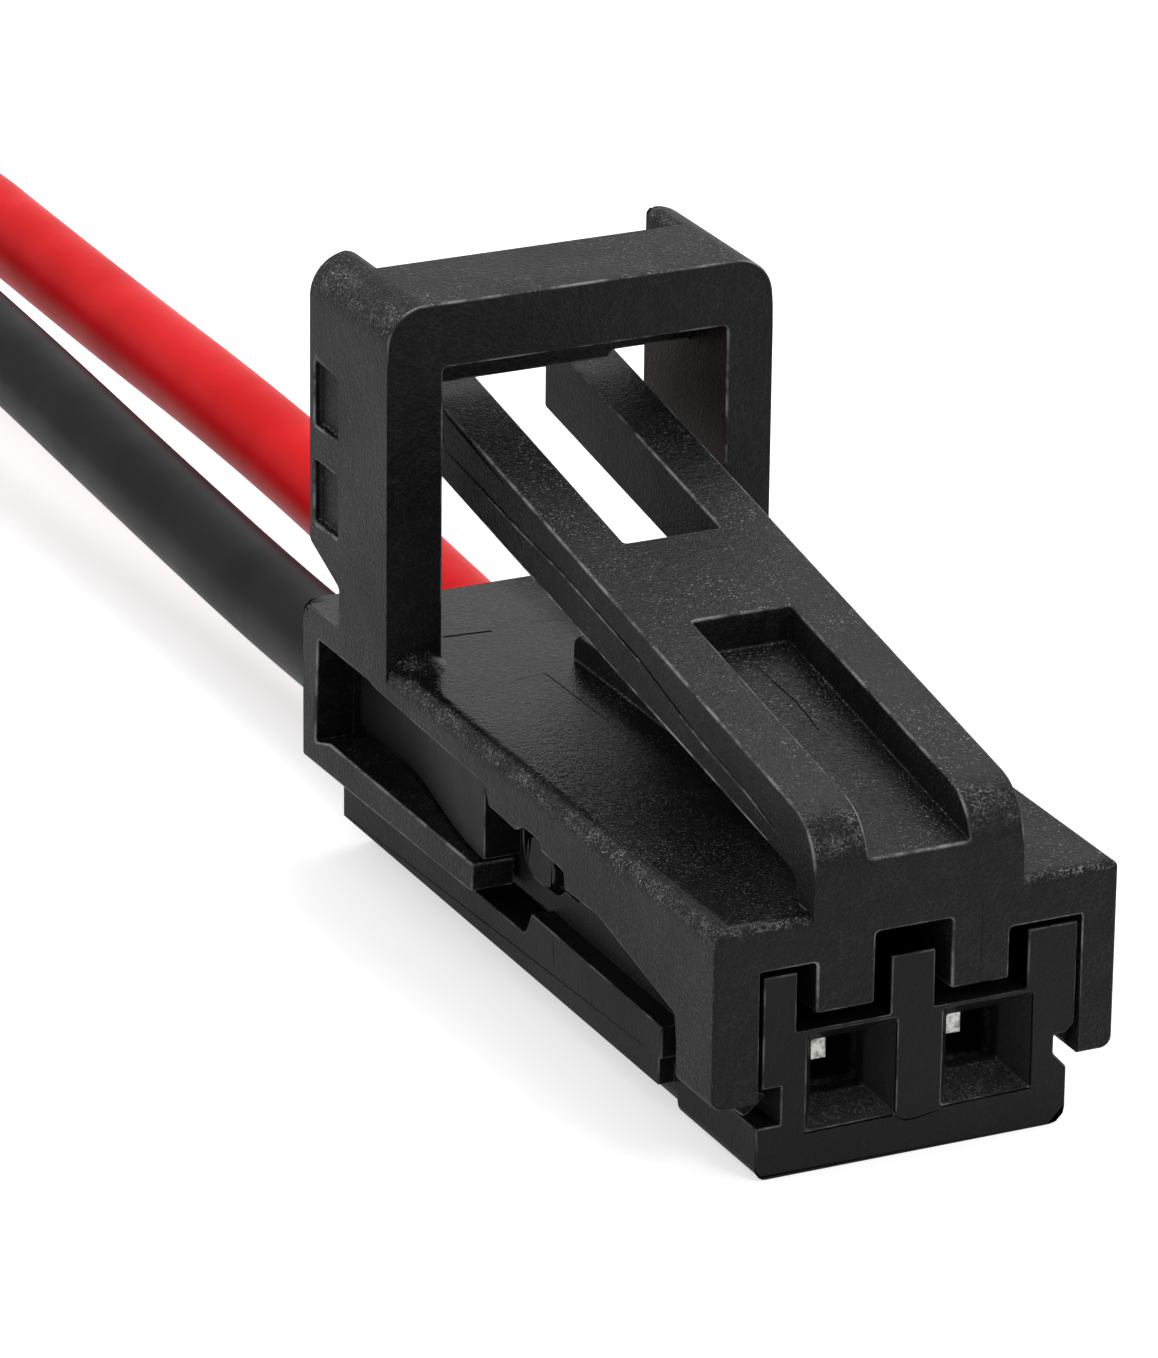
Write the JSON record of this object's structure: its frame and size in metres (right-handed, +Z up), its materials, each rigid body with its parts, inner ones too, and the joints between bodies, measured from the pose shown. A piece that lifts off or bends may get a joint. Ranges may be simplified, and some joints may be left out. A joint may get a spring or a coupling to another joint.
{
  "type": "prewired connector plug",
  "caption": "Black moulded plug for two terminals, with a sprung latch lever under a guard bow and a red and a black wire lead.",
  "frame": {"origin": "bottom centre of the plug without its wires, on the underside of the base plate", "axes": "+Z up, the mating face looks along -Y, the wires leave along +Y, +X is right seen from the mating face's side"},
  "size_m": [0.0725, 0.1136, 0.0181],
  "materials": {
    "housing": "spark-eroded grain, black",
    "carrier": "smooth matte, black",
    "lock": "smooth matte, black",
    "terminal": "tinned",
    "spring": "bright",
    "black_insulation": "satin",
    "red_insulation": "satin",
    "core": "tinned strands"
  },
  "bodies": {
    "root": {"outer_housing": "housing", "terminal_carrier": "carrier", "secondary_lock": "lock", "terminal_left": "terminal", "terminal_right": "terminal", "contact_spring_left": "spring", "contact_spring_right": "spring", "black_insulation": "black_insulation", "red_insulation": "red_insulation", "black_core": "core", "red_core": "core"}
  },
  "joints": []
}
